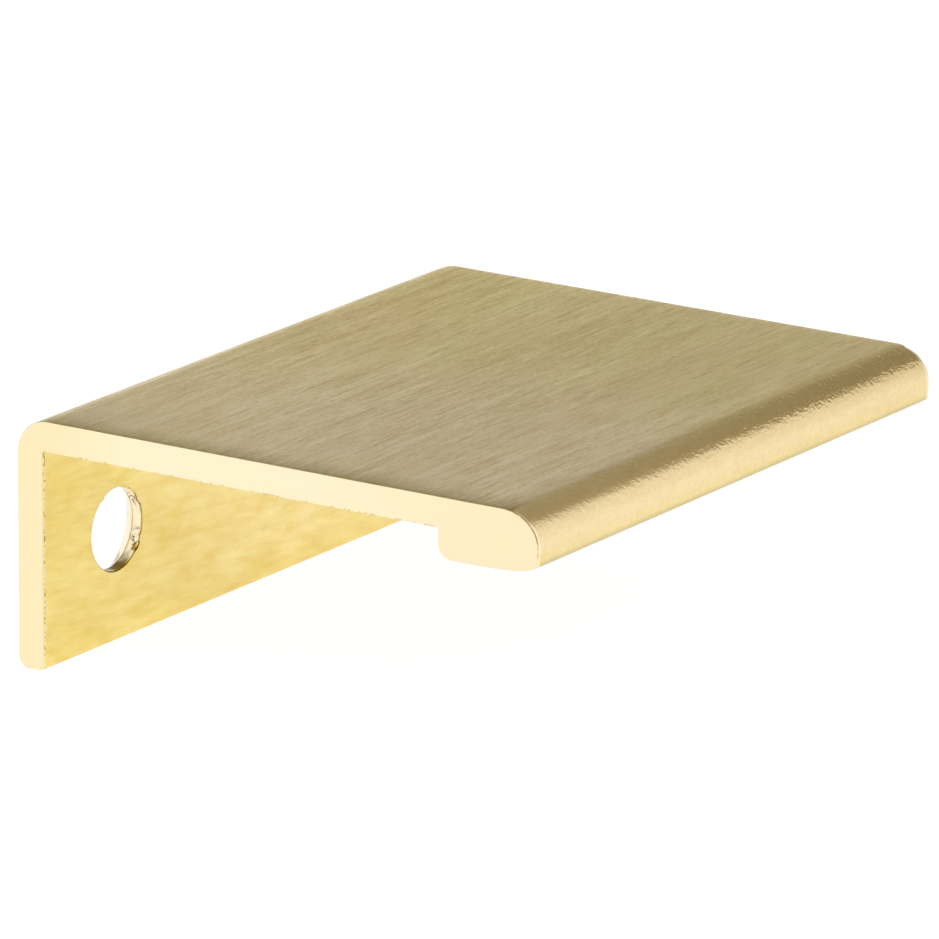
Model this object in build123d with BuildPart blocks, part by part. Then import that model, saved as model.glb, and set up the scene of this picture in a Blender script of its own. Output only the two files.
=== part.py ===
from build123d import *
import os

# Tab pull, one solid piece of brass section, in millimetres.
# A flat plate lies over the edge of a door or a drawer front. A thin leg hangs down behind
# the board and takes two screws from the rear, and a thicker lip turns down in front of it
# as the grip. X runs along the board's edge, the lip faces -Y, and Z points up.
# The origin lies midway between the two screw holes, on the leg's seat against the board.

# Overall sizes
pull_length = 38.0
pull_depth = 32.0
pull_height = 13.5

# Walls of the section
leg_thickness = 1.55
plate_thickness = 1.65
lip_depth = 6.0
lip_drop = 3.25

# Rounds of the section, from the bend over the board's rear edge to the foot of the leg
bend_radius = 1.9
foot_rear_radius = 0.65
foot_seat_radius = 0.25
lip_rear_radius = 0.8

# Nose of the lip: nearly a full round over the top, and a flatter one underneath
nose_top_run = 2.15
nose_top_drop = 1.75
nose_under_run = 2.8
nose_under_rise = 0.62

# Screw holes through the leg, countersunk from behind
hole_pitch = 24.8
hole_drop = 7.4
hole_diameter = 4.5
sink_diameter = 6.1
sink_angle = 82.0

# Both sawn ends are eased all round
end_ease = 0.12

# Levels and faces of the section, from the screw axes and the seat
top_z = hole_drop
under_z = top_z - plate_thickness
foot_z = top_z - pull_height
lip_z = top_z - lip_drop
rear_y = leg_thickness
seat_y = 0
nose_y = rear_y - pull_depth
lip_rear_y = nose_y + lip_depth

# Ends of the nose's two rounds, where they meet its short upright front
nose_top_z = top_z - nose_top_drop
nose_under_z = lip_z + nose_under_rise

# Corners of the section that are rounded, each with its radius
corner_radii = {
    (rear_y, top_z): bend_radius,
    (rear_y, foot_z): foot_rear_radius,
    (seat_y, foot_z): foot_seat_radius,
    (lip_rear_y, lip_z): lip_rear_radius,
}

with BuildPart() as tab_pull:
    # Section across the pull: over the plate, down the leg and back under to the lip
    with BuildSketch(Plane.YZ) as section:
        with BuildLine():
            Polyline(
                (nose_y + nose_top_run, top_z),
                (rear_y, top_z),
                (rear_y, foot_z),
                (seat_y, foot_z),
                (seat_y, under_z),
                (lip_rear_y, under_z),
                (lip_rear_y, lip_z),
                (nose_y + nose_under_run, lip_z),
            )
            EllipticalCenterArc(
                center=(nose_y + nose_under_run, nose_under_z),
                x_radius=nose_under_run,
                y_radius=nose_under_rise,
                start_angle=180,
                arc_size=90,
            )
            Line((nose_y, nose_under_z), (nose_y, nose_top_z))
            EllipticalCenterArc(
                center=(nose_y + nose_top_run, nose_top_z),
                x_radius=nose_top_run,
                y_radius=nose_top_drop,
                start_angle=90,
                arc_size=90,
            )
        make_face()
        for corner, radius in corner_radii.items():
            fillet(section.vertices().sort_by_distance(corner)[0], radius)
    extrude(amount=pull_length / 2, both=True)

    # Ease the outline of both sawn ends
    chamfer(tab_pull.faces().filter_by(Axis.X).edges(), end_ease)

    # Two countersunk screw holes from the rear face of the leg, level with each other
    with Locations(Plane(origin=(0, rear_y, 0), x_dir=(1, 0, 0), z_dir=(0, 1, 0))):
        with GridLocations(hole_pitch, 0, 2, 1):
            CounterSinkHole(
                radius=hole_diameter / 2,
                counter_sink_radius=sink_diameter / 2,
                depth=2 * leg_thickness,
                counter_sink_angle=sink_angle,
            )
tab_pull.part.label = "tab_pull"

os.makedirs("parts", exist_ok=True)
export_step(tab_pull.part, "parts/tab_pull.step")
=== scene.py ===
import bmesh
import bpy
import math
from mathutils import Matrix, Vector, noise
from mathutils.geometry import delaunay_2d_cdt


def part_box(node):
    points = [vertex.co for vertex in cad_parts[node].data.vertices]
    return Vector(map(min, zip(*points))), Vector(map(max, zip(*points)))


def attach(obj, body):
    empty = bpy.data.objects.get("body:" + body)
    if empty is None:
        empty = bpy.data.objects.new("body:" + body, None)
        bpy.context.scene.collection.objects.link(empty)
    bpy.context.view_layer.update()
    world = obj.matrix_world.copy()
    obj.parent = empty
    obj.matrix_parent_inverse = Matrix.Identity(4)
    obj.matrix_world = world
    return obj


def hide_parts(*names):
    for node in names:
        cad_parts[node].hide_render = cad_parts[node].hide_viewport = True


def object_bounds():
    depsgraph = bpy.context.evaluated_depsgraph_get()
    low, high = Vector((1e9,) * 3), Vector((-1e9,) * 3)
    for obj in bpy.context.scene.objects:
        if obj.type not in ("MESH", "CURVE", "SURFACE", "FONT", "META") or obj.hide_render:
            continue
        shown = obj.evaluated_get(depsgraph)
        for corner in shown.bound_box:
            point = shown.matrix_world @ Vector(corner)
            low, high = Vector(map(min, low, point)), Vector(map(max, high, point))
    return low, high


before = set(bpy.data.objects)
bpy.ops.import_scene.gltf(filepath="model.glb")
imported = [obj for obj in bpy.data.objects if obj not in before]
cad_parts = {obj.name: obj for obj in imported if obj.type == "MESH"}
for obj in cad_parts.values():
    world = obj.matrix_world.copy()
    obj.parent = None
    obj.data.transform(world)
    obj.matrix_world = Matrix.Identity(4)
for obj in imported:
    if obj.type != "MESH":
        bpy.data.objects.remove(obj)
cadLow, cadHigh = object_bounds()
mm = 0.001
print("frame loaded")

# camera where the photo was taken from: a long lens, low and off the near end
shot = {
    "azimuth": -56.64,
    "elevation": 16.07,
    "roll": 0.323,
    "lens": 368.2,
    "distance": 0.5022,
    "aim": (-0.00057, -0.01421, 0.00274),
    "clipStart": 0.01,
}


def makeCamera():
    turn, rise = math.radians(shot["azimuth"]), math.radians(shot["elevation"])
    back = Vector((math.sin(turn) * math.cos(rise), -math.cos(turn) * math.cos(rise), math.sin(rise)))
    right = Vector((math.cos(turn), math.sin(turn), 0))
    axes = Matrix((right, back.cross(right), back)).transposed()
    data = bpy.data.cameras.new("shotCamera")
    data.lens = shot["lens"]
    data.clip_start = shot["clipStart"]
    camera = bpy.data.objects.new("shotCamera", data)
    camera.matrix_world = (
        Matrix.Translation(Vector(shot["aim"]) + back * shot["distance"])
        @ axes.to_4x4()
        @ Matrix.Rotation(math.radians(shot["roll"]), 4, "Z")
    )
    bpy.context.scene.collection.objects.link(camera)
    bpy.context.scene.camera = camera


makeCamera()
print("camera placed")

# the pull's own sizes in mm; length, depth and height come from the CAD node's box
pull = {
    "legThickness": 1.55,
    "plateThickness": 1.65,
    "lipDepth": 6.0,
    "lipDrop": 3.25,
    "bendRadius": 1.9,
    "footRearRadius": 0.65,
    "footSeatRadius": 0.25,
    "lipRearRadius": 0.8,
    "noseTopRun": 2.15,
    "noseTopDrop": 1.75,
    "noseUnderRun": 2.8,
    "noseUnderRise": 0.62,
    "brushTurn": 105,  # the top's brushing runs a little way over the nose
    "fineEase": (0.03, 0.02),  # how far the sawn edges are broken: along the pull, and into the section
    "noseEase": (0.24, 0.05),
    "seatEase": (0.25, 0.02),
    "easeWander": 0.4,  # how unevenly they were broken
    "wanderMarks": ((31, 1.7, 1.0), (17, 4.1, 0.5)),  # shift between the ends, marks per mm, strength
    "rollRun": 1.6,  # the brushing rolls the outside off a hair towards each end
    "rollDrop": 0.012,
    "holePitch": 24.8,
    "holeRadius": 2.25,
    "sinkRadius": 3.05,
    "sinkAngle": 82.0,
    "holeBreak": 0.06,
    "holeWander": 0.018,  # tool marks in the bores
    "boreMarks": ((5, 6, 1.0), (19, 16, 0.6)),  # marks round the bore, marks per mm of depth, strength
    "dingDepth": 0.35,  # how deep a ding reaches into the bore
    "dingRough": 0.8,
    "dingMarks": 12,
    "liftDepth": 0.1,  # how deep the part of the rim is that a ding lifts
    "liftShare": 0.4,  # how much of the listed lift it takes
}

# dings on the near hole's front rim: angle round the hole, width in degrees, how far it closes the rim, lift
dings = [
    (32, 6, 0.16, 0.10),
    (-23, 4, 0.12, 0.10),
    (-36, 7, -0.09, 0.0),
    (66, 8, 0.05, 0.0),
    (122, 3, 0.09, 0.05),
]

# how finely the mesh is divided; the window is the square patch round each hole
weave = {
    "step": 0.9,
    "roundSteps": 14,
    "easeSteps": 6,
    "windowHalf": 3.75,
    "windowSteps": 40,
    "middleStep": 0.6,
    "outerCuts": 9,
    "capSpacing": 0.55,
    "patchShares": (0.4, 0.68, 0.83, 0.91, 0.96),  # from the window's edge to the hole's rim
    "patchFlat": 0.85,  # up to this share the patch lies flat in the seat
    "cornerTurn": 225,  # the loops round a hole start at the window's lower corner towards -X
    "breakBends": (0.3, 0.25),  # where the broken front and rear rims bend, as shares of the break
    "boreShares": (0.12, 0.3, 0.5, 0.75, 0.94, 1),
    "sinkShares": (0.04, 0.25, 0.5, 0.75),
    "mapGap": 1.0,  # between the strips of the flat map, in mm
    "mapRow": 0.2,
    "crispAngle": 50,
    "normalWeight": 60,
}

low, high = [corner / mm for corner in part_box("tab_pull")]
halfLength = high.x
topZ, footZ = high.z, low.z
rearY, noseY = high.y, low.y
seatY = rearY - pull["legThickness"]
underZ = topZ - pull["plateThickness"]
lipZ = topZ - pull["lipDrop"]
lipRearY = noseY + pull["lipDepth"]
holeX = pull["holePitch"] / 2
sinkY = rearY - (pull["sinkRadius"] - pull["holeRadius"]) / math.tan(math.radians(pull["sinkAngle"] / 2))

zones = ["brushed", "nose", "inner", "sawn", "eased", "bored"]


# the section is walked clockwise seen from -X, as stretches of corners in mm: (y, z), way it faces
def straight(name, zone, start, end, facing, count=None):
    count = count or max(1, round(math.dist(start, end) / weave["step"]))
    spots = []
    for k in range(count):
        share = k / count
        spots.append((start[0] + (end[0] - start[0]) * share, start[1] + (end[1] - start[1]) * share, facing))
    return {"name": name, "zone": zone, "spots": spots, "leaves": facing}


def rounded(name, zone, centre, run, rise, fromTurn, toTurn):
    spots = []
    steps = max(3, round(weave["roundSteps"] * abs(toTurn - fromTurn) / 90))
    for k in range(steps + 1):
        turn = math.radians(fromTurn + (toTurn - fromTurn) * k / steps)
        facing = Vector((math.cos(turn) / run, math.sin(turn) / rise)).normalized()
        spots.append((centre[0] + run * math.cos(turn), centre[1] + rise * math.sin(turn), tuple(facing)))
    return {"name": name, "zone": zone, "spots": spots[:-1], "leaves": spots[-1][2]}


def sectionStretches():
    half = weave["windowHalf"]
    across = weave["windowSteps"]
    bend, footRear, footSeat = pull["bendRadius"], pull["footRearRadius"], pull["footSeatRadius"]
    lipRear, run, drop = pull["lipRearRadius"], pull["noseTopRun"], pull["noseTopDrop"]
    underRun, underRise = pull["noseUnderRun"], pull["noseUnderRise"]
    return [
        straight("noseFront", "nose", (noseY, lipZ + underRise), (noseY, topZ - drop), (-1, 0)),
        rounded("noseTop", "nose", (noseY + run, topZ - drop), run, drop, 180, pull["brushTurn"]),
        rounded("noseCrown", "brushed", (noseY + run, topZ - drop), run, drop, pull["brushTurn"], 90),
        straight("top", "brushed", (noseY + run, topZ), (rearY - bend, topZ), (0, 1)),
        rounded("bend", "brushed", (rearY - bend, topZ - bend), bend, bend, 90, 0),
        straight("rearUpper", "brushed", (rearY, topZ - bend), (rearY, half), (1, 0)),
        straight("rearWindow", "brushed", (rearY, half), (rearY, -half), (1, 0), across),
        straight("rearLower", "brushed", (rearY, -half), (rearY, footZ + footRear), (1, 0)),
        rounded("footRear", "brushed", (rearY - footRear, footZ + footRear), footRear, footRear, 0, -90),
        straight("foot", "inner", (rearY - footRear, footZ), (seatY + footSeat, footZ), (0, -1)),
        rounded("footSeat", "inner", (seatY + footSeat, footZ + footSeat), footSeat, footSeat, -90, -180),
        straight("seatLower", "inner", (seatY, footZ + footSeat), (seatY, -half), (-1, 0)),
        straight("seatWindow", "inner", (seatY, -half), (seatY, half), (-1, 0), across),
        straight("seatUpper", "inner", (seatY, half), (seatY, underZ), (-1, 0)),
        straight("under", "inner", (seatY, underZ), (lipRearY, underZ), (0, -1)),
        straight("lipRear", "inner", (lipRearY, underZ), (lipRearY, lipZ + lipRear), (1, 0)),
        rounded("lipRound", "inner", (lipRearY - lipRear, lipZ + lipRear), lipRear, lipRear, 0, -90),
        straight("lipUnder", "nose", (lipRearY - lipRear, lipZ), (noseY + underRun, lipZ), (0, -1)),
        rounded("noseUnder", "nose", (noseY + underRun, lipZ + underRise), underRun, underRise, -90, -180),
    ]


def sectionOutline():
    # one entry per corner: place, mitre for easing the ends, zone, ease, and length walked so far
    broad = {"noseFront": "noseEase", "noseTop": "noseEase", "noseUnder": "noseEase"}
    seats = ("foot", "footSeat", "seatLower", "seatWindow", "seatUpper", "under", "lipRear", "lipRound")
    broad.update({name: "seatEase" for name in seats})
    outline, starts, walked = [], {}, 0.0
    stretches = sectionStretches()
    arrives = Vector(stretches[-1]["leaves"])
    for stretch in stretches:
        starts[stretch["name"]] = len(outline)
        ease = pull[broad.get(stretch["name"], "fineEase")]
        for y, z, facing in stretch["spots"]:
            facing = Vector(facing)
            mitre = (facing + arrives) / (1 + facing.dot(arrives))
            outline.append({"y": y, "z": z, "mitre": mitre, "zone": stretch["zone"], "ease": ease})
            arrives = facing
        arrives = Vector(stretch["leaves"])
    for j, spot in enumerate(outline):
        following = outline[(j + 1) % len(outline)]
        spot["walked"] = walked
        walked += math.dist((spot["y"], spot["z"]), (following["y"], following["z"]))
        spot["next"] = walked
    return outline, starts


def crossStations():
    # places along the pull: rounded ends first, then plain cuts with a fine patch at each hole
    half, fine, outer, ease = weave["windowHalf"], weave["windowSteps"], weave["outerCuts"], []
    for k in range(weave["easeSteps"] + 1):
        turn = math.radians(90 * k / weave["easeSteps"])
        ease.append((1 - math.cos(turn), 1 - math.sin(turn)))
    inside = halfLength - 2 * max(pull["noseEase"][0], pull["seatEase"][0])
    marks = [-inside, -holeX - half, -holeX + half, holeX - half, holeX + half, inside]
    counts = [outer, fine, round((marks[3] - marks[2]) / weave["middleStep"]), fine, outer]
    stations = [("ease", -1, out, inset) for out, inset in ease]
    windows = []
    for start, end, count in zip(marks, marks[1:], counts):
        if count == fine:
            windows.append(len(stations))
        stations += [("plain", start + (end - start) * k / count) for k in range(count)]
    stations.append(("plain", inside))
    stations += [("ease", 1, out, inset) for out, inset in reversed(ease)]
    return stations, windows


def pointsWithin(ring):
    # a light grid of points inside a closed outline, clear of its edge
    spacing = weave["capSpacing"]
    found = []
    for row in range(1, int((topZ - footZ) / spacing)):
        for step in range(1, int((rearY - noseY) / spacing)):
            spot = Vector((noseY + (step + 0.5 * (row % 2)) * spacing, footZ + row * spacing))
            crossings = 0
            for a, b in zip(ring, ring[1:] + ring[:1]):
                if (a.y > spot.y) != (b.y > spot.y):
                    crossings += spot.x < a.x + (b.x - a.x) * (spot.y - a.y) / (b.y - a.y)
            if crossings % 2 and min((spot - a).length for a in ring) > 0.5 * spacing:
                found.append(spot)
    return found


def holeRings(seatLoop, rearLoop, centreX):
    # loops of points from the seat's patch, through the bore and the countersink, to the rear's
    count = len(seatLoop)
    turns = [math.radians(weave["cornerTurn"] + 360 * k / count) for k in range(count)]
    edge, bore, sink = pull["holeBreak"], pull["holeRadius"], pull["sinkRadius"]
    boreY = seatY + edge
    front, rear = (share * edge for share in weave["breakBends"])
    wall = [(bore + edge, seatY), (bore + front, seatY + front), (bore, boreY)]
    for share in weave["boreShares"]:
        wall.append((bore, boreY + (sinkY - seatY - edge) * share))
    for share in weave["sinkShares"]:
        wall.append((bore + (sink - bore) * share, sinkY + (rearY - sinkY) * share))
    wall += [(sink - edge, rearY - edge), (sink, rearY - rear), (sink + edge, rearY)]

    def around(radius, y, k):
        spot = Vector((math.cos(turns[k]), math.sin(turns[k])))
        shake = 0.0
        for about, deep, strength in pull["boreMarks"]:
            shake += strength * noise.noise(Vector((spot.x * about + centreX, spot.y * about, y * deep)))
        radius += pull["holeWander"] * shake
        depth = max(0, 1 - (y - seatY) / pull["dingDepth"])
        if centreX < 0 and depth:
            for angle, width, close, lift in dings:
                off = (math.degrees(turns[k]) - angle + 180) % 360 - 180
                hit = math.exp(-((off / width) ** 2)) * depth * depth
                rough = pull["dingRough"] * noise.noise(Vector((off, y * pull["dingMarks"], angle)))
                radius -= close * hit * (1 + rough)
                y -= lift * hit * max(0, 1 - (y - seatY) / pull["liftDepth"]) * pull["liftShare"]
        return Vector((centreX + radius * spot.x, y, radius * spot.y))

    rings = []
    firstRing = [around(*wall[0], k) for k in range(count)]
    lastRing = [around(*wall[-1], k) for k in range(count)]
    flat = weave["patchFlat"]
    for share in weave["patchShares"]:
        ring = [a.lerp(b, share) for a, b in zip(seatLoop, firstRing)]
        for spot in ring:
            spot.y = seatY + (spot.y - seatY) * max(0, (share - flat) / (1 - flat))
        rings.append(("patch", ring))
    for radius, y in wall:
        rings.append(("wall", [around(radius, y, k) for k in range(count)]))
    for share in reversed(weave["patchShares"]):
        rings.append(("patch", [a.lerp(b, share) for a, b in zip(rearLoop, lastRing)]))
    return rings


def buildPull():
    outline, starts = sectionOutline()
    stations, windows = crossStations()
    bm = bmesh.new()
    uvLayer = bm.loops.layers.uv.new("OFBake")
    gap = weave["mapGap"]
    stripWide = 2 * halfLength + gap
    splitJ = starts["foot"]
    splitWalk = outline[splitJ]["walked"]
    tall = max(splitWalk, outline[-1]["next"] - splitWalk)
    canvas = 2 * stripWide + gap

    def unroll(x, j, walked):
        # flat map: the outside in one strip, the inside in the next, with X across both
        side = j >= splitJ
        across = x + halfLength + gap + side * stripWide
        return (across / canvas, (walked - side * splitWalk + gap) / canvas)

    def capSpot(spot, side):
        across = spot.x - noseY + gap + side * (rearY - noseY + 2 * gap)
        return (across / canvas, (tall + 2 * gap + spot.y - footZ) / canvas)

    corners = {}

    def place(i, j):
        kind, *where = stations[i]
        spot = outline[j]
        rolls = spot["zone"] in ("brushed", "nose")
        if kind == "plain":
            near = rolls * max(0, 1 - (halfLength - abs(where[0])) / pull["rollRun"])
            drop = spot["mitre"] * (pull["rollDrop"] * near * near)
            return Vector((where[0], spot["y"] - drop.x, spot["z"] - drop.y))
        side, out, inset = where
        shake = 0.0
        for shift, marks, strength in pull["wanderMarks"]:
            shake += strength * noise.noise(Vector((side * shift, spot["y"] * marks, spot["z"] * marks)))
        wander = 1 + pull["easeWander"] * shake
        along, into = spot["ease"][0] * wander, spot["ease"][1] * wander
        near = rolls * max(0, 1 - out * along / pull["rollRun"])
        inward = spot["mitre"] * (into * inset + pull["rollDrop"] * near * near)
        return Vector((side * (halfLength - out * along), spot["y"] - inward.x, spot["z"] - inward.y))

    def corner(i, j):
        j %= len(outline)
        if (i, j) not in corners:
            corners[i, j] = bm.verts.new(place(i, j) * mm)
        return corners[i, j]

    def addFace(verts, zone, spots):
        face = bm.faces.new(verts)
        face.smooth = True
        face.material_index = zones.index(zone)
        for loop, spot in zip(face.loops, spots):
            loop[uvLayer].uv = spot

    # walls along the pull, leaving the windows out
    span = weave["windowSteps"]
    openings = [starts["seatWindow"], starts["rearWindow"]]
    for i in range(len(stations) - 1):
        inWindow = any(first <= i < first + span for first in windows)
        for j, spot in enumerate(outline):
            if inWindow and any(first <= j < first + span for first in openings):
                continue
            verts = [corner(i, j), corner(i + 1, j), corner(i + 1, j + 1), corner(i, j + 1)]
            walks = [spot["walked"], spot["walked"], spot["next"], spot["next"]]
            spots = [unroll(v.co.x / mm, j, walk) for v, walk in zip(verts, walks)]
            zone = spot["zone"]
            if stations[i][0] == stations[i + 1][0] == "ease" and spot["ease"] != pull["fineEase"]:
                zone = "eased"
            addFace(verts, zone, spots)
    print("walls made", len(bm.faces))

    # sawn ends
    for side, i in ((0, 0), (1, len(stations) - 1)):
        ring = [corner(i, j) for j in range(len(outline))]
        flatRing = [Vector((v.co.y, v.co.z)) / mm for v in ring]
        inside = pointsWithin(flatRing)
        sides = [(k, (k + 1) % len(ring)) for k in range(len(ring))]
        spotsOut, _, triangles, came, _, _ = delaunay_2d_cdt(flatRing + inside, sides, [], 1, 1e-6)
        verts = []
        for spot, origins in zip(spotsOut, came):
            known = [k for k in origins if k < len(ring)]
            verts.append(ring[known[0]] if known else bm.verts.new(Vector((ring[0].co.x / mm, *spot)) * mm))
        for triangle in triangles:
            a, b, c = (spotsOut[k] for k in triangle)
            clockwise = (b - a).cross(c - a) < 0
            order = triangle if clockwise == (side == 0) else triangle[::-1]
            spots = [capSpot(spotsOut[k], side) for k in order]
            addFace([verts[k] for k in order], "sawn", spots)

    # screw holes
    for number, first in enumerate(windows):
        loops = []
        last = first + span
        for j0 in openings:
            path = [(first + k, j0) for k in range(span)]
            path += [(last, j0 + k) for k in range(span)]
            path += [(last - k, j0 + span) for k in range(span)]
            path += [(first, j0 + span - k) for k in range(span)]
            loops.append(path)
        seatPath = loops[0]
        rearPath = [loops[1][(-span - k) % len(seatPath)] for k in range(len(seatPath))]
        seatVerts = [corner(*spot) for spot in seatPath]
        rearVerts = [corner(*spot) for spot in rearPath]
        centreX = (-holeX, holeX)[number]
        rings = holeRings([v.co / mm for v in seatVerts], [v.co / mm for v in rearVerts], centreX)
        seatWalk = outline[starts["seatWindow"]]["walked"] + weave["windowHalf"]
        rearWalk = outline[starts["rearWindow"]]["walked"] + weave["windowHalf"]
        made = [("patch", seatVerts)]
        made += [(kind, [bm.verts.new(p * mm) for p in points]) for kind, points in rings]
        made.append(("patch", rearVerts))
        firstWall = min(n for n, (kind, _) in enumerate(made) if kind == "wall")
        count = len(seatVerts)
        wide = 2 * math.pi * pull["sinkRadius"]
        wallSpot = tall + 2 * gap + (topZ - footZ) + gap
        for n, ((kindA, ringA), (kindB, ringB)) in enumerate(zip(made, made[1:])):
            for k in range(count):
                m = (k + 1) % count
                verts = [ringA[k], ringA[m], ringB[m], ringB[k]]
                if kindA == kindB == "wall":
                    spots = []
                    for turn, row in ((k, n), (k + 1, n), (k + 1, n + 1), (k, n + 1)):
                        across = gap + wide * turn / count + number * (wide + gap)
                        upward = wallSpot + (row - firstWall) * weave["mapRow"]
                        spots.append((across / canvas, upward / canvas))
                    addFace(verts, "bored", spots)
                elif n < len(made) / 2:
                    spots = [unroll(v.co.x / mm, starts["seatWindow"], seatWalk + v.co.z / mm) for v in verts]
                    addFace(verts, "inner", spots)
                else:
                    spots = [unroll(v.co.x / mm, starts["rearWindow"], rearWalk - v.co.z / mm) for v in verts]
                    addFace(verts, "brushed", spots)

    # crisp lines only where the section has a true corner
    bm.normal_update()
    for edge in bm.edges:
        edge.smooth = edge.calc_face_angle(0) < math.radians(weave["crispAngle"])
    data = bpy.data.meshes.new("tabPull")
    bm.to_mesh(data)
    bm.free()
    piece = bpy.data.objects.new("tabPull", data)
    bpy.context.scene.collection.objects.link(piece)
    weigh = piece.modifiers.new("evenShading", "WEIGHTED_NORMAL")
    weigh.keep_sharp = True
    weigh.weight = weave["normalWeight"]
    return piece


tabPull = buildPull()
print("pull made, faces", len(tabPull.data.polygons))

usual = (0.35, 0.65)  # noise seldom leaves this range


# node helper: settings by attribute, inputs as plain values or as sockets to link
def addNode(tree, kind, settings=None, inputs=None):
    made = tree.nodes.new(kind)
    for name, value in (settings or {}).items():
        setattr(made, name, value)
    for name, value in (inputs or {}).items():
        if isinstance(value, bpy.types.NodeSocket):
            tree.links.new(value, made.inputs[name])
        else:
            made.inputs[name].default_value = value
    return made


def newMaterial(name):
    material = bpy.data.materials.new(name)
    material.use_nodes = True
    tree = material.node_tree
    tree.nodes.clear()
    place = addNode(tree, "ShaderNodeTexCoord").outputs["Object"]
    return material, tree, place


def grain(tree, place, along, across, detail, rough, shift=0.0, lean=0.0):
    # noise drawn out along X: features per metre along the pull, and across it; lean turns the marks about Y
    if lean:
        turned = addNode(tree, "ShaderNodeVectorRotate", {"rotation_type": "Y_AXIS"}, {"Vector": place})
        turned.inputs["Angle"].default_value = math.radians(lean)
        place = turned.outputs[0]
    moved = addNode(tree, "ShaderNodeMapping", inputs={"Vector": place, "Location": (shift, shift, shift)})
    moved.inputs["Scale"].default_value = (along, across, across)
    shape = {"Vector": moved.outputs["Vector"], "Scale": 1.0, "Detail": detail, "Roughness": rough}
    return addNode(tree, "ShaderNodeTexNoise", inputs=shape).outputs["Fac"]


def spread(tree, value, fromLow, fromHigh, toLow=0.0, toHigh=1.0):
    ends = {0: value, 1: fromLow, 2: fromHigh, 3: toLow, 4: toHigh}
    return addNode(tree, "ShaderNodeMapRange", {"interpolation_type": "SMOOTHSTEP"}, ends).outputs[0]


def maths(tree, operation, first, second):
    return addNode(tree, "ShaderNodeMath", {"operation": operation}, {0: first, 1: second}).outputs[0]


def overlap(tree, *shares):
    # where all the given shares meet
    total = shares[0]
    for share in shares[1:]:
        total = maths(tree, "MULTIPLY", total, share)
    return total


def distanceTo(tree, value, level):
    return maths(tree, "ABSOLUTE", maths(tree, "SUBTRACT", value, level), 0.0)


def sumOf(tree, parts):
    # weighted sum of grey values
    total = None
    for value, weight in parts:
        part = maths(tree, "MULTIPLY", value, weight)
        total = part if total is None else maths(tree, "ADD", total, part)
    return total


def livelier(tree, value, gain):
    # stretches a grey value about its middle
    return maths(tree, "ADD", maths(tree, "MULTIPLY", maths(tree, "SUBTRACT", value, 0.5), gain), 0.5)


def axisOf(tree, place, axis):
    return addNode(tree, "ShaderNodeSeparateXYZ", inputs={0: place}).outputs[axis]


def drift(tree, place, span, axis, base=0.0):
    # slow change along one axis, from 0 to 1 between two places in mm
    return spread(tree, axisOf(tree, place, axis), (base + span[0]) * mm, (base + span[1]) * mm)


def mixed(tree, share, first, second, blend="MIX"):
    made = addNode(tree, "ShaderNodeMix", {"data_type": "RGBA", "blend_type": blend})
    for socket, value in ((made.inputs[0], share), (made.inputs[6], first), (made.inputs[7], second)):
        if isinstance(value, bpy.types.NodeSocket):
            tree.links.new(value, socket)
        else:
            socket.default_value = (*value, 1) if isinstance(value, tuple) else value
    return made.outputs[2]


def tinted(tree, colour, share, tint):
    # multiplies a colour by a tint, as far as the share says
    return mixed(tree, share, colour, mixed(tree, 1.0, colour, tint, "MULTIPLY"))


def finishMetal(material, tree, colour, roughness, height, depth, anisotropy=0.0):
    bump = addNode(tree, "ShaderNodeBump", inputs={"Strength": 1.0, "Distance": depth, "Height": height})
    metal = addNode(tree, "ShaderNodeBsdfPrincipled", inputs={"Base Color": colour, "Roughness": roughness})
    metal.inputs["Metallic"].default_value = 1.0
    tree.links.new(bump.outputs[0], metal.inputs["Normal"])
    if anisotropy:
        along = addNode(tree, "ShaderNodeTangent", {"direction_type": "UV_MAP", "uv_map": "OFBake"})
        tree.links.new(along.outputs[0], metal.inputs["Tangent"])
        metal.inputs["Anisotropic"].default_value = anisotropy
        metal.inputs["Anisotropic Rotation"].default_value = 0.25  # gloss spreads across the brushing
    tree.links.new(metal.outputs[0], addNode(tree, "ShaderNodeOutputMaterial").inputs[0])
    return material


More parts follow.
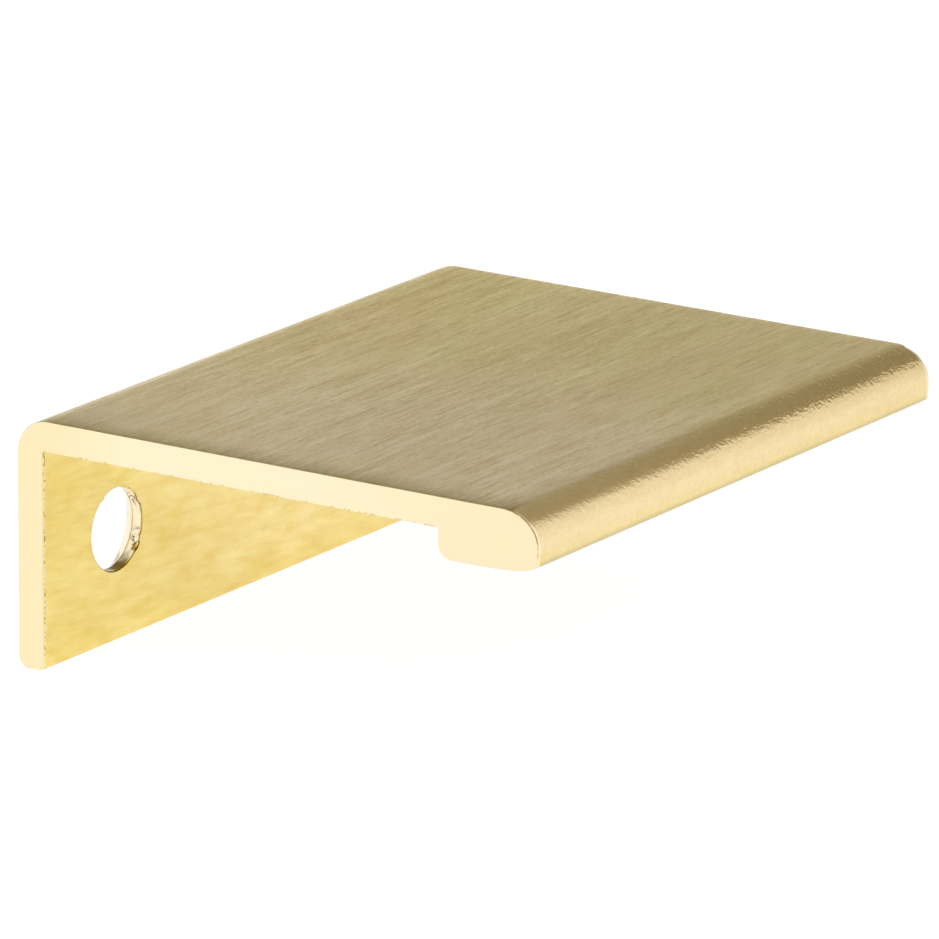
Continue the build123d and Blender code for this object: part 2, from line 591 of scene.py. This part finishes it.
# fine short strokes of a belt along the pull; painted reflection makes it greyer towards the near end and
# painted shade makes it darker in its last few mm
# marks are given per metre along and across the pull, then detail, roughness and shift; spans are in mm
brushed = {
    "light": (1.0, 0.88, 0.58),
    "dark": (0.762, 0.597, 0.293),
    "scratch": (0.86, 0.83, 0.77),
    "olive": (0.97, 1.0, 0.93),
    "tan": (1.0, 0.975, 0.955),
    "hueSpan": (-20, 10),
    # painted light: the far and front tints are painted reflection, the corner and end tints are painted
    # shade
    "farReflectTint": (0.935, 0.91, 0.67),
    "farSpan": (-11, 11),
    "frontReflectTint": (0.926, 0.926, 0.985),
    "frontSpan": (-2, -18),
    "cornerShadeTint": (0.89, 0.885, 0.86),
    "cornerAlong": (-12, -17),
    "cornerAcross": (-9, -1),
    "endShadeTint": (0.74, 0.72, 0.565),
    "endSpan": (2.4, 0),  # from the near end
    "lineTint": (0.90, 0.88, 0.82),  # ragged line right at the near edge
    "lineSpan": (0.5, 0.15),  # from the near end
    "layers": {
        "broad": (40, 260, 1, 0.5, 7.7),
        "band": (90, 900, 2, 0.5, 3.1),
        "middle": (130, 1900, 2, 0.5, 1.9),
        "fine": (260, 3600, 2, 0.6, 4.3),
        "short": (900, 3600, 1, 0.5, 6.4),
        "grit": (4600, 4200, 1, 0.5, 8.8),
    },
    "weights": {"broad": 0.06, "band": 0.12, "middle": 0.19, "fine": 0.26, "short": 0.16, "grit": 0.21},
    "relief": {"fine": 0.5, "middle": 0.5},
    "contrast": 3.8,
    "vigour": (60, 110, 1, 0.5, 13.7),
    "vigourRange": (0.75, 1.25),
    "strokes": (300, 3900, 1, 0.5, 11.3),
    "strokeCut": (0.62, 0.74),
    "strokeDepth": -0.12,
    "cloud": (90, 230, 2, 0.5, 5.9),
    "cloudCut": (0.38, 0.62),
    "ragged": (1100, 1700, 2, 0.6, 2.6),
    "raggedCut": (0.32, 0.55),
    "raggedRange": (0.3, 1.0),
    "roughness": (0.30, 0.40),
    "depth": 0.000002,
    "anisotropy": 0.6,
}


def brushedBrass():
    material, tree, place = newMaterial("brushedBrass")
    layers = {name: grain(tree, place, *marks) for name, marks in brushed["layers"].items()}
    lines = sumOf(tree, [(layers[name], weight) for name, weight in brushed["weights"].items()])
    vigour = spread(tree, grain(tree, place, *brushed["vigour"]), *usual, *brushed["vigourRange"])
    tone = livelier(tree, lines, maths(tree, "MULTIPLY", vigour, brushed["contrast"]))
    strokes = spread(tree, grain(tree, place, *brushed["strokes"]), *brushed["strokeCut"])
    cloud = grain(tree, place, *brushed["cloud"])
    colour = mixed(tree, tone, brushed["dark"], brushed["light"])
    colour = tinted(tree, colour, strokes, brushed["scratch"])
    hue = mixed(tree, spread(tree, cloud, *brushed["cloudCut"]), brushed["olive"], brushed["tan"])
    hued = mixed(tree, 1.0, colour, hue, "MULTIPLY")
    colour = mixed(tree, drift(tree, place, brushed["hueSpan"], "X"), colour, hued)
    # painted reflection yellows the far end and cools the front; painted shade darkens the near corner and
    # the last few mm
    colour = tinted(tree, colour, drift(tree, place, brushed["farSpan"], "X"), brushed["farReflectTint"])
    colour = tinted(tree, colour, drift(tree, place, brushed["frontSpan"], "Y"), brushed["frontReflectTint"])
    atCorner = overlap(
        tree,
        drift(tree, place, brushed["cornerAlong"], "X"),
        drift(tree, place, brushed["cornerAcross"], "Y"),
    )
    colour = tinted(tree, colour, atCorner, brushed["cornerShadeTint"])
    atEnd = drift(tree, place, brushed["endSpan"], "X", -halfLength)
    colour = tinted(tree, colour, atEnd, brushed["endShadeTint"])
    ragged = grain(tree, place, *brushed["ragged"])
    ragged = spread(tree, ragged, *brushed["raggedCut"], *brushed["raggedRange"])
    atEdge = drift(tree, place, brushed["lineSpan"], "X", -halfLength)
    colour = tinted(tree, colour, overlap(tree, atEdge, ragged), brushed["lineTint"])
    roughness = spread(tree, lines, *usual, *reversed(brushed["roughness"]))
    relief = [(layers[name], weight) for name, weight in brushed["relief"].items()]
    height = sumOf(tree, relief + [(strokes, brushed["strokeDepth"])])
    return finishMetal(material, tree, colour, roughness, height, brushed["depth"], brushed["anisotropy"])


# rubbed round nose with a sandy grain that shows where its reflection turns; its far end, crown, lower part
# and lower front rim carry painted reflection and painted shade
nose = {
    "light": (0.94, 0.755, 0.435),
    "dark": (0.86, 0.68, 0.365),
    # painted light: the far and low tints are painted reflection, the crown tint is painted shade, the rim
    # tint is painted shade of the floor reflected under the lip
    "farReflectTint": (0.95, 0.93, 0.90),
    "farSpan": (-19, 19),
    "crownShadeTint": (0.91, 0.91, 0.87),
    "crownSpan": (-1.4, -0.7),  # from the top
    "crownAlong": (-4, 17),
    "lowReflectTint": (0.975, 0.98, 0.80),
    "lowSpan": (1.5, 0.6),  # from the lip's underside
    "rimShadeTint": (0.72, 0.74, 0.80),
    "rimSpan": (0.85, 0.5),
    "rimAcross": (1.5, 0.5),  # from the nose's front
    "sand": (3300, 3700, 2, 0.6),
    "patch": (700, 1300, 3, 0.5, 5.3),
    "colourShares": (0.6, 0.4),
    "reliefShares": (0.75, 0.25),
    "contrast": 3,
    "roughSpan": (-17, 12),
    "roughness": (0.25, 0.11),  # near and far
    "sandSpan": (-17, 6),
    "nearSand": 0.55,  # how much of the sandy relief is left at the near end
    "depth": 0.00006,
}


def noseBrass():
    material, tree, place = newMaterial("noseBrass")
    sand = grain(tree, place, *nose["sand"])
    patch = grain(tree, place, *nose["patch"])
    share = livelier(tree, sumOf(tree, zip((sand, patch), nose["colourShares"])), nose["contrast"])
    colour = mixed(tree, share, nose["dark"], nose["light"])
    # painted reflection and painted shade over the nose's colour
    colour = tinted(tree, colour, drift(tree, place, nose["farSpan"], "X"), nose["farReflectTint"])
    atCrown = overlap(
        tree,
        drift(tree, place, nose["crownSpan"], "Z", topZ),
        drift(tree, place, nose["crownAlong"], "X"),
    )
    colour = tinted(tree, colour, atCrown, nose["crownShadeTint"])
    colour = tinted(tree, colour, drift(tree, place, nose["lowSpan"], "Z", lipZ), nose["lowReflectTint"])
    atRim = overlap(
        tree,
        drift(tree, place, nose["rimSpan"], "Z", lipZ),
        drift(tree, place, nose["rimAcross"], "Y", noseY),
    )
    colour = tinted(tree, colour, atRim, nose["rimShadeTint"])
    along = axisOf(tree, place, "X")
    roughness = spread(tree, along, *(end * mm for end in nose["roughSpan"]), *nose["roughness"])
    relief = spread(tree, along, *(end * mm for end in nose["sandSpan"]), nose["nearSand"], 1.0)
    height = overlap(tree, sumOf(tree, zip((sand, patch), nose["reliefShares"])), relief)
    return finishMetal(material, tree, colour, roughness, height, nose["depth"])


# warmer inside, mottled by faint polishing marks along the leg; painted reflection makes the far end paler
# and the foot at the near end a deeper yellow
inner = {
    "light": (0.99, 0.82, 0.31),
    "dark": (0.85, 0.63, 0.16),
    # painted reflection: less yellow towards the far end, deeper yellow low down near the near end
    "farReflectTint": (1.01, 1.02, 1.28),
    "farSpan": (-18, 2),
    "lowReflectTint": (0.96, 0.93, 0.74),
    "lowSpan": (3, 0),  # from the foot
    "lowAlong": (-17, -8),
    "slope": -5,
    "drawn": (350, 2000, 3, 0.6, 0.0),
    "cloud": (500, 1000, 3, 0.6, 2.2),
    "wide": (160, 330, 2, 0.5, 6.6),
    "shares": (0.4, 0.4, 0.2),
    "contrast": 4.2,
    "roughness": (0.28, 0.38),
    "depth": 0.000003,
}


def innerBrass():
    material, tree, place = newMaterial("innerBrass")
    drawn = grain(tree, place, *inner["drawn"], inner["slope"])
    cloud = grain(tree, place, *inner["cloud"], inner["slope"])
    wide = grain(tree, place, *inner["wide"])
    mix = sumOf(tree, zip((drawn, cloud, wide), inner["shares"]))
    colour = mixed(tree, livelier(tree, mix, inner["contrast"]), inner["dark"], inner["light"])
    # painted reflection over the inner face's colour
    colour = tinted(tree, colour, drift(tree, place, inner["farSpan"], "X"), inner["farReflectTint"])
    low = overlap(
        tree,
        drift(tree, place, inner["lowSpan"], "Z", footZ),
        drift(tree, place, inner["lowAlong"], "X"),
    )
    colour = tinted(tree, colour, low, inner["lowReflectTint"])
    roughness = spread(tree, cloud, *usual, *inner["roughness"])
    return finishMetal(material, tree, colour, roughness, drawn, inner["depth"])


# smooth pale saw-cut ends; painted reflection makes the leg's part and the lip's front more saturated
sawn = {
    "light": (0.995, 0.885, 0.62),
    "dark": (0.985, 0.875, 0.595),
    # painted reflection: the leg's part and the lip's front of the cut are more saturated
    "legReflectTint": (1.0, 0.94, 0.845),
    "legSpan": (-6, 0),
    "lipReflectTint": (1.0, 0.972, 0.935),
    "lipSpan": (-17, -26),
    "nick": (0.74, 0.65, 0.45),  # small nicks along the plate's lower edge
    "nickMarks": (2400, 2400, 2, 0.6, 5.2),
    "nickCut": (0.52, 0.60),
    "nickSpan": (0.10, 0.05),  # from the plate's underside
    "nickRear": (0.1, -0.1),
    "nickFront": (0, 0.5),  # from the lip's rear
    "cloud": (600, 600, 3, 0.5, 1.3),
    "cuts": (4000, 2600, 2, 0.5, 9.1),
    "roughness": (0.26, 0.30),
    "depth": 0.00000006,
}


def sawnBrass():
    material, tree, place = newMaterial("sawnBrass")
    cloud = grain(tree, place, *sawn["cloud"])
    cuts = grain(tree, place, *sawn["cuts"])
    colour = mixed(tree, spread(tree, cloud, *usual), sawn["dark"], sawn["light"])
    # painted reflection over the cut's colour
    colour = tinted(tree, colour, drift(tree, place, sawn["legSpan"], "Y"), sawn["legReflectTint"])
    colour = tinted(tree, colour, drift(tree, place, sawn["lipSpan"], "Y"), sawn["lipReflectTint"])
    nicks = spread(tree, grain(tree, place, *sawn["nickMarks"]), *sawn["nickCut"])
    low = overlap(
        tree,
        drift(tree, place, sawn["nickSpan"], "Z", underZ),
        drift(tree, place, sawn["nickRear"], "Y"),
        drift(tree, place, sawn["nickFront"], "Y", lipRearY),
    )
    colour = tinted(tree, colour, overlap(tree, low, nicks), sawn["nick"])
    roughness = spread(tree, cloud, *usual, *sawn["roughness"])
    return finishMetal(material, tree, colour, roughness, cuts, sawn["depth"])


# broken edges of the nose and the leg: bright, paler higher up the nose as a painted highlight, with a dark
# hairline of painted reflection and pits beside the saw cut
eased = {
    "leg": (0.95, 0.80, 0.42),
    # painted highlight: the nose's broken edge is paler higher up
    "noseHighlight": (1.0, 0.84, 0.56),
    "noseLow": (0.97, 0.80, 0.44),
    "noseSpan": (-10, -20),
    "upperSpan": (0.6, 1.7),  # from the lip's underside
    # painted reflection: a dark hairline where the broken nose edge turns
    "line": (0.40, 0.29, 0.13),
    "lineAt": 0.05,  # mm in from the end
    "lineWide": 0.05,
    "lineReach": (0.85, 1.3),  # from the lip's underside
    "broken": (1500, 1500, 2, 0.5, 3.3),
    "brokenCut": (0.28, 0.42),
    "pit": (0.42, 0.33, 0.16),
    "pitAt": 0.19,
    "pitWide": 0.12,
    "pitCut": (0.55, 0.62),
    "pitRise": (0.5, 4.0),
    "pitMore": 0.03,  # more pits higher up the leg
    "specks": (6800, 6200, 2, 0.6, 9.4),
    "core": 0.4,  # how much of a line's width is full
    "roughness": 0.3,
    "depth": 0.000004,
}


def easedBrass():
    material, tree, place = newMaterial("easedBrass")
    onNose = drift(tree, place, eased["noseSpan"], "Y")
    upper = drift(tree, place, eased["upperSpan"], "Z", lipZ)
    # painted highlight on the upper part of the nose's broken edge
    colour = mixed(tree, upper, eased["noseLow"], eased["noseHighlight"])
    colour = mixed(tree, onNose, eased["leg"], colour)
    out = maths(tree, "ABSOLUTE", axisOf(tree, place, "X"), 0.0)

    def strip(at, wide):
        # 1 on a line that runs beside the end, 0 away from it
        off = distanceTo(tree, out, (halfLength - at) * mm)
        return spread(tree, off, wide * mm, eased["core"] * wide * mm)

    broken = spread(tree, grain(tree, place, *eased["broken"]), *eased["brokenCut"])
    reach = drift(tree, place, eased["lineReach"], "Z", lipZ)
    # painted reflection: dark hairline along the nose's broken edge
    line = overlap(tree, strip(eased["lineAt"], eased["lineWide"]), reach, broken, onNose)
    colour = tinted(tree, colour, line, eased["line"])
    specks = grain(tree, place, *eased["specks"])
    rise = (end * mm for end in eased["pitRise"])
    bias = spread(tree, axisOf(tree, place, "Z"), *rise, 0.0, eased["pitMore"])
    pits = spread(tree, maths(tree, "ADD", specks, bias), *eased["pitCut"])
    onLeg = maths(tree, "SUBTRACT", 1.0, onNose)
    pitted = overlap(tree, strip(eased["pitAt"], eased["pitWide"]), pits, onLeg)
    colour = tinted(tree, colour, pitted, eased["pit"])
    return finishMetal(material, tree, colour, eased["roughness"], specks, eased["depth"])


# bores with bright cut walls, dark at the edges, with painted shade in the step's crease and at the bottom,
# and scuffed where the rim was dinged
bored = {
    "light": (1.0, 0.90, 0.66),
    "dark": (0.90, 0.75, 0.47),
    "rim": (0.44, 0.36, 0.18),
    "frontRim": (0.07, 0.02),  # from the seat
    "rearRim": (-0.1, -0.03),  # from the rear face
    "smeared": 0.25,  # the upper rim is smeared over and shows little of the dark line
    # painted shade in the crease where the bore meets the countersink
    "step": (0.70, 0.57, 0.36),
    "stepWide": (0.09, 0.03),
    # painted shade at the bottom of the bore
    "low": (0.46, 0.36, 0.15),
    "lowSpan": (-1.85, -2.15),
    "high": (0.95, 0.86, 0.56),
    "highSpan": (1.1, 1.9),
    "scuff": (0.33, 0.23, 0.08),
    "scuffDepth": 0.15,
    "scuffReach": (0.35, 0.15),
    "curls": (2600, 2600, 2, 0.6, 6.1),
    "curlWide": (0.06, 0.02),
    "chatter": (1500, 1500, 3, 0.6, 4.4),
    "roughness": (0.12, 0.24),
    "depth": 0.000006,
}


def boredBrass():
    material, tree, place = newMaterial("boredBrass")
    chatter = grain(tree, place, *bored["chatter"])
    colour = mixed(tree, spread(tree, chatter, *usual), bored["dark"], bored["light"])
    deep = axisOf(tree, place, "Y")
    high = drift(tree, place, bored["highSpan"], "Z")
    colour = tinted(tree, colour, high, bored["high"])
    frontRim = drift(tree, place, bored["frontRim"], "Y", seatY)
    plain = spread(tree, high, 0.0, 1.0, 1.0, bored["smeared"])
    colour = tinted(tree, colour, overlap(tree, frontRim, plain), bored["rim"])
    colour = tinted(tree, colour, drift(tree, place, bored["rearRim"], "Y", rearY), bored["rim"])
    stepWide = (end * mm for end in bored["stepWide"])
    atStep = spread(tree, distanceTo(tree, deep, sinkY * mm), *stepWide)
    # painted shade in the step's crease
    colour = tinted(tree, colour, atStep, bored["step"])
    # painted shade at the bottom of the bore
    colour = tinted(tree, colour, drift(tree, place, bored["lowSpan"], "Z"), bored["low"])
    nearDing = 0.0
    outer, core = bored["scuffReach"]
    radius = pull["holeRadius"]
    for angle, _, close, _ in dings:
        turn = math.radians(angle)
        across, up = radius * math.cos(turn), radius * math.sin(turn)
        spot = Vector((-holeX + across, seatY + bored["scuffDepth"], up))
        apart = addNode(tree, "ShaderNodeVectorMath", {"operation": "DISTANCE"}, {0: place, 1: spot * mm})
        hit = spread(tree, apart.outputs["Value"], (outer + 2 * abs(close)) * mm, (core + abs(close)) * mm)
        nearDing = maths(tree, "MAXIMUM", hit, nearDing)
    curls = grain(tree, place, *bored["curls"])
    curl = spread(tree, distanceTo(tree, curls, 0.5), *bored["curlWide"])
    colour = tinted(tree, colour, overlap(tree, nearDing, curl), bored["scuff"])
    roughness = spread(tree, chatter, *usual, *bored["roughness"])
    return finishMetal(material, tree, colour, roughness, chatter, bored["depth"])


for make in (brushedBrass, noseBrass, innerBrass, sawnBrass, easedBrass, boredBrass):
    tabPull.data.materials.append(make())
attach(tabPull, "root")
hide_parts("tab_pull")
print("brass finishes made")

# studio: a white sweep below and on the near sides, a dim warm room behind to the right, a soft light above
studio = {
    "floorSize": 3.0,
    "paper": (0.9, 0.9, 0.89),
    "paperSeen": 0.16,  # how much of the paper's own shading the eye and the metal see
    "paperGlow": 0.95,
    "backdrop": (1.0, 1.0, 1.0),
    "sweep": (1.0, 1.0, 1.0),
    "sweepFall": (0.90, 0.88, 0.86),  # the sweep's edge beside the room
    "room": (0.387, 0.354, 0.262),
    "roomTop": (0.345, 0.315, 0.232),
    "lamp": (1.15, 1.13, 1.08),
    "sweepEnds": (0.15, 0.36),
    "frontStarts": (-0.36, -0.24),
    "frontFull": -0.75,
    "sideStarts": (-0.35, 0.05),
    "topStarts": (0.36, 0.55),
    "lampStarts": (0.80, 0.95),
}


def makeWorld():
    world = bpy.data.worlds.new("studioRoom")
    bpy.context.scene.world = world
    world.use_nodes = True
    tree = world.node_tree
    tree.nodes.clear()
    way = addNode(tree, "ShaderNodeTexCoord").outputs["Generated"]
    parts = addNode(tree, "ShaderNodeSeparateXYZ", inputs={0: way}).outputs
    high = spread(tree, parts["Z"], *studio["sweepEnds"])
    behind = spread(tree, parts["Y"], *studio["frontStarts"])
    beyond = spread(tree, parts["X"], *studio["sideStarts"])
    dim = overlap(tree, high, behind, beyond)
    above = spread(tree, parts["Z"], *studio["lampStarts"])
    fading = spread(tree, parts["Y"], studio["frontFull"], studio["frontStarts"][1])
    fall = overlap(tree, high, fading, beyond)
    colour = mixed(tree, fall, studio["sweep"], studio["sweepFall"])
    upper = spread(tree, parts["Z"], *studio["topStarts"])
    room = mixed(tree, upper, studio["room"], studio["roomTop"])
    colour = mixed(tree, dim, colour, room)
    colour = mixed(tree, above, colour, studio["lamp"])
    rays = addNode(tree, "ShaderNodeLightPath")
    colour = mixed(tree, rays.outputs["Is Camera Ray"], colour, studio["backdrop"])
    glow = addNode(tree, "ShaderNodeBackground", inputs={"Color": colour})
    tree.links.new(glow.outputs[0], addNode(tree, "ShaderNodeOutputWorld").inputs[0])


def makeFloor():
    half = studio["floorSize"] / 2
    data = bpy.data.meshes.new("studioFloor")
    corners = [(-half, -half), (half, -half), (half, half), (-half, half)]
    data.from_pydata([(x, y, cadLow.z) for x, y in corners], [], [(0, 1, 2, 3)])
    floor = bpy.data.objects.new("studioFloor", data)
    bpy.context.scene.collection.objects.link(floor)
    material = bpy.data.materials.new("palePaper")
    material.use_nodes = True
    tree = material.node_tree
    tree.nodes.clear()
    rays = addNode(tree, "ShaderNodeLightPath")
    seen = rays.outputs["Is Camera Ray"]
    for name in ("Is Glossy Ray", "Is Transmission Ray"):
        seen = maths(tree, "MAXIMUM", seen, rays.outputs[name])
    faint = tuple(part * studio["paperSeen"] for part in studio["paper"])
    shade = mixed(tree, seen, studio["paper"], faint)
    paper = addNode(tree, "ShaderNodeBsdfDiffuse", inputs={"Color": shade})
    lift = maths(tree, "MULTIPLY", seen, studio["paperGlow"])
    glow = addNode(tree, "ShaderNodeEmission", inputs={"Strength": lift})
    both = addNode(tree, "ShaderNodeAddShader", inputs={0: paper.outputs[0], 1: glow.outputs[0]})
    tree.links.new(both.outputs[0], addNode(tree, "ShaderNodeOutputMaterial").inputs[0])
    floor.data.materials.append(material)


makeWorld()
makeFloor()
bpy.context.scene.view_settings.view_transform = "Standard"
print("studio made")
